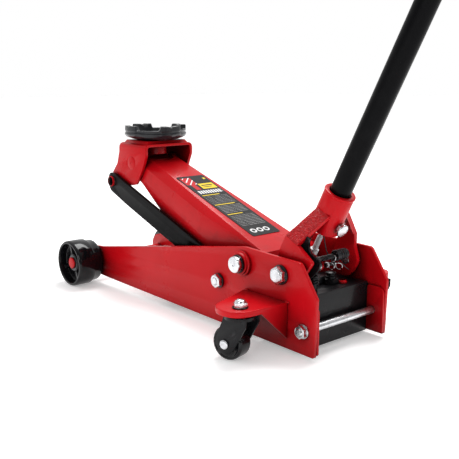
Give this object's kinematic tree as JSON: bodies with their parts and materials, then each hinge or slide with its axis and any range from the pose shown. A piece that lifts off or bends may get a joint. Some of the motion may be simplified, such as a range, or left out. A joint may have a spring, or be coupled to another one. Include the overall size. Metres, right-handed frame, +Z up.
{
  "type": "hydraulic trolley jack",
  "caption": "Low wheeled hydraulic jack: two side plates, a lift arm with a levelling saddle, swivel casters at the rear and a long pump handle in a forked socket.",
  "frame": {"origin": "centre of the bounding box on the floor plane that the wheels stand on", "axes": "+Z up, +X from the front wheels back to the handle, +Y to the right of someone standing at the handle"},
  "size_m": [1.037, 0.366, 1.0447],
  "materials": {
    "red_paint": "gloss red enamel over pressed and welded steel",
    "black_paint": "satin black powder coat",
    "wheel_enamel": "gloss black enamel",
    "cast_iron_black": "black painted casting",
    "spring_steel": "oiled dark steel wire",
    "zinc_plate": "bright zinc plate",
    "bare_steel": "ground and turned steel",
    "grip_rubber": "matt black foam rubber",
    "printed_label": null
  },
  "bodies": {
    "chassis": {"side_plate_left": "red_paint", "side_plate_right": "red_paint", "caster_bracket_left": "red_paint", "caster_bracket_right": "red_paint", "caster_kingpin_left": "zinc_plate", "caster_kingpin_right": "zinc_plate", "pivot_collar_left": "red_paint", "pivot_collar_right": "red_paint", "retaining_ring_left": "black_paint", "retaining_ring_right": "black_paint", "link_bolt_left": "zinc_plate", "link_bolt_right": "zinc_plate", "socket_bolt_left": "zinc_plate", "socket_bolt_right": "zinc_plate", "tie_rod_doubler_left": "red_paint", "tie_rod_doubler_right": "red_paint", "front_axle": "red_paint", "main_shaft": "zinc_plate", "tie_rod": "zinc_plate", "front_brace": "red_paint", "reservoir_tank": "black_paint", "cylinder_liner": "bare_steel", "ram_gland": "bare_steel", "pump_cylinder": "cast_iron_black", "pump_spring": "spring_steel", "filler_plug": "red_paint", "valve_block": "cast_iron_black"},
    "lift_arm": {"lift_arm": "red_paint", "arm_lever": "red_paint", "ram_pin": "bare_steel", "arm_label": "printed_label"},
    "ram_roller": {"ram_roller": "bare_steel"},
    "saddle_bracket": {"saddle_bracket": "red_paint", "bracket_pin": "red_paint"},
    "saddle": {"saddle": "cast_iron_black"},
    "links": {"link_bar_left": "black_paint", "link_bar_right": "black_paint", "link_cross_pin": "red_paint"},
    "ram": {"ram_yoke": "cast_iron_black", "ram_piston": "bare_steel"},
    "front_wheel_left": {"front_wheel_left": "wheel_enamel"},
    "front_wheel_right": {"front_wheel_right": "wheel_enamel"},
    "caster_left": {"caster_fork_left": "black_paint", "caster_axle_left": "zinc_plate"},
    "caster_right": {"caster_fork_right": "black_paint", "caster_axle_right": "zinc_plate"},
    "caster_wheel_left": {"caster_wheel_left": "wheel_enamel"},
    "caster_wheel_right": {"caster_wheel_right": "wheel_enamel"},
    "handle_socket": {"handle_socket": "red_paint", "pump_lever": "red_paint", "lock_bolt": "zinc_plate", "return_spring": "spring_steel"},
    "pump_roller": {"pump_roller": "bare_steel"},
    "handle": {"handle_lower_tube": "black_paint", "handle_upper_tube": "black_paint", "handle_joint_bolt": "zinc_plate", "handle_grip": "grip_rubber", "release_key": "zinc_plate"},
    "pump_plunger": {"pump_plunger": "bare_steel"},
    "release_spindle": {"release_spindle": "zinc_plate"}
  },
  "joints": [
    {"name": "arm_lift", "type": "hinge", "parent": "chassis", "child": "lift_arm", "pos_m": [-0.02931, 0, 0.121], "axis": [0, 1, 0], "range_deg": [-27, 30]},
    {"name": "bracket_level", "type": "hinge", "parent": "lift_arm", "child": "saddle_bracket", "pos_m": [-0.37609, 0, 0.24681], "axis": [0, 1, 0], "range_deg": [-30, 27]},
    {"name": "link_swing", "type": "hinge", "parent": "chassis", "child": "links", "pos_m": [-0.08631, 0, 0.081], "axis": [0, 1, 0], "range_deg": [-27, 30]},
    {"name": "ram_stroke", "type": "slide", "parent": "chassis", "child": "ram", "axis": [-1, 0, 0], "range_m": [-0.0292, 0.0324]},
    {"name": "saddle_turn", "type": "hinge", "parent": "saddle_bracket", "child": "saddle", "pos_m": [-0.3723, 0, 0.289], "axis": [0, 0, 1], "continuous": true},
    {"name": "ram_roller_spin", "type": "hinge", "parent": "lift_arm", "child": "ram_roller", "pos_m": [-0.04303, 0, 0.05644], "axis": [0, 1, 0], "continuous": true},
    {"name": "front_wheel_left_spin", "type": "hinge", "parent": "chassis", "child": "front_wheel_left", "pos_m": [-0.4753, -0.115, 0.045], "axis": [0, 1, 0], "continuous": true},
    {"name": "front_wheel_right_spin", "type": "hinge", "parent": "chassis", "child": "front_wheel_right", "pos_m": [-0.4753, 0.115, 0.045], "axis": [0, 1, 0], "continuous": true},
    {"name": "caster_left_swivel", "type": "hinge", "parent": "chassis", "child": "caster_left", "pos_m": [0.04369, -0.155, 0.07], "axis": [0, 0, 1], "continuous": true},
    {"name": "caster_right_swivel", "type": "hinge", "parent": "chassis", "child": "caster_right", "pos_m": [0.04369, 0.155, 0.07], "axis": [0, 0, 1], "continuous": true},
    {"name": "caster_left_spin", "type": "hinge", "parent": "caster_left", "child": "caster_wheel_left", "pos_m": [0.02902, -0.15812, 0.026], "axis": [-0.2079, 0.9781, 0], "continuous": true},
    {"name": "caster_right_spin", "type": "hinge", "parent": "caster_right", "child": "caster_wheel_right", "pos_m": [0.02902, 0.15812, 0.026], "axis": [0.2079, 0.9781, 0], "continuous": true},
    {"name": "handle_swing", "type": "hinge", "parent": "chassis", "child": "handle_socket", "pos_m": [0.05509, 0, 0.119], "axis": [0, 1, 0], "range_deg": [-22, 45]},
    {"name": "pump_roller_spin", "type": "hinge", "parent": "handle_socket", "child": "pump_roller", "pos_m": [0.07308, 0, 0.12496], "axis": [0, 1, 0], "continuous": true},
    {"name": "handle_twist", "type": "hinge", "parent": "handle_socket", "child": "handle", "pos_m": [0.03729, 0, 0.12811], "axis": [0.4555, 0, 0.8902], "range_deg": [0, 90]},
    {"name": "pump_stroke", "type": "slide", "parent": "chassis", "child": "pump_plunger", "axis": [0, 0, -1], "range_m": [-0.0073, 0.0147], "deforming": ["pump_spring"]},
    {"name": "release_turn", "type": "hinge", "parent": "chassis", "child": "release_spindle", "pos_m": [0.0387, 0, 0.089], "axis": [0, 0, 1], "range_deg": [0, 90]}
  ],
  "couplings": [
    {"joint": "bracket_level", "follows": "arm_lift", "ratio": -1},
    {"joint": "link_swing", "follows": "arm_lift", "ratio": 1},
    {"joint": "ram_stroke", "follows": "arm_lift", "m_per_rad": 0.0615},
    {"joint": "pump_stroke", "follows": "handle_swing", "m_per_rad": 0.0185},
    {"joint": "release_turn", "follows": "handle_twist", "ratio": 1}
  ]
}
